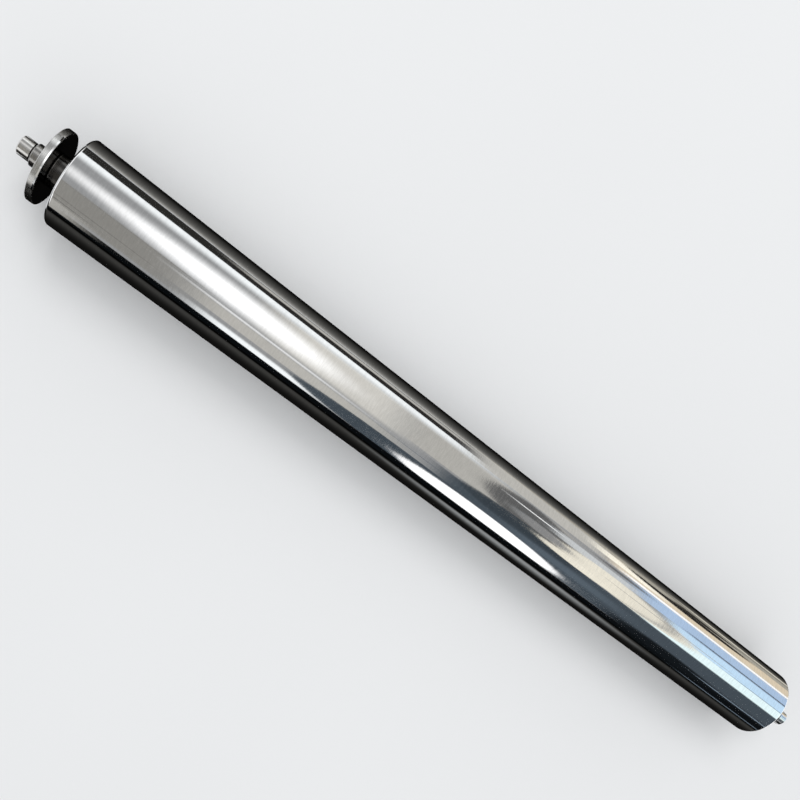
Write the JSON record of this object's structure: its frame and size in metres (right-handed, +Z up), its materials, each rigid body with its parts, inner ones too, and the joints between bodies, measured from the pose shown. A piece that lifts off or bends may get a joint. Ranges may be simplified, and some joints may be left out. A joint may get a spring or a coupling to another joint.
{
  "type": "dampening roller",
  "caption": "Long chromed roller for a sheet press, with end journals shrunk into a steel tube and a guide disc beside the face that forms a groove for the side-to-side drive.",
  "frame": {"origin": "on the roller's axis, midway between the ends of the two pins", "axes": "+X along the axis, from the journal with the guide disc to the plain journal; +Z up, any direction across the axis"},
  "size_m": [0.5856, 0.0479, 0.048],
  "materials": {
    "chromed_steel": "hard chrome, ground round the axis and polished",
    "ground_steel": "fine ground steel, bright on the pins and satin on the disc"
  },
  "bodies": {
    "root": {"roller_tube": "chromed_steel", "left_journal": "ground_steel", "right_journal": "ground_steel"}
  },
  "joints": []
}
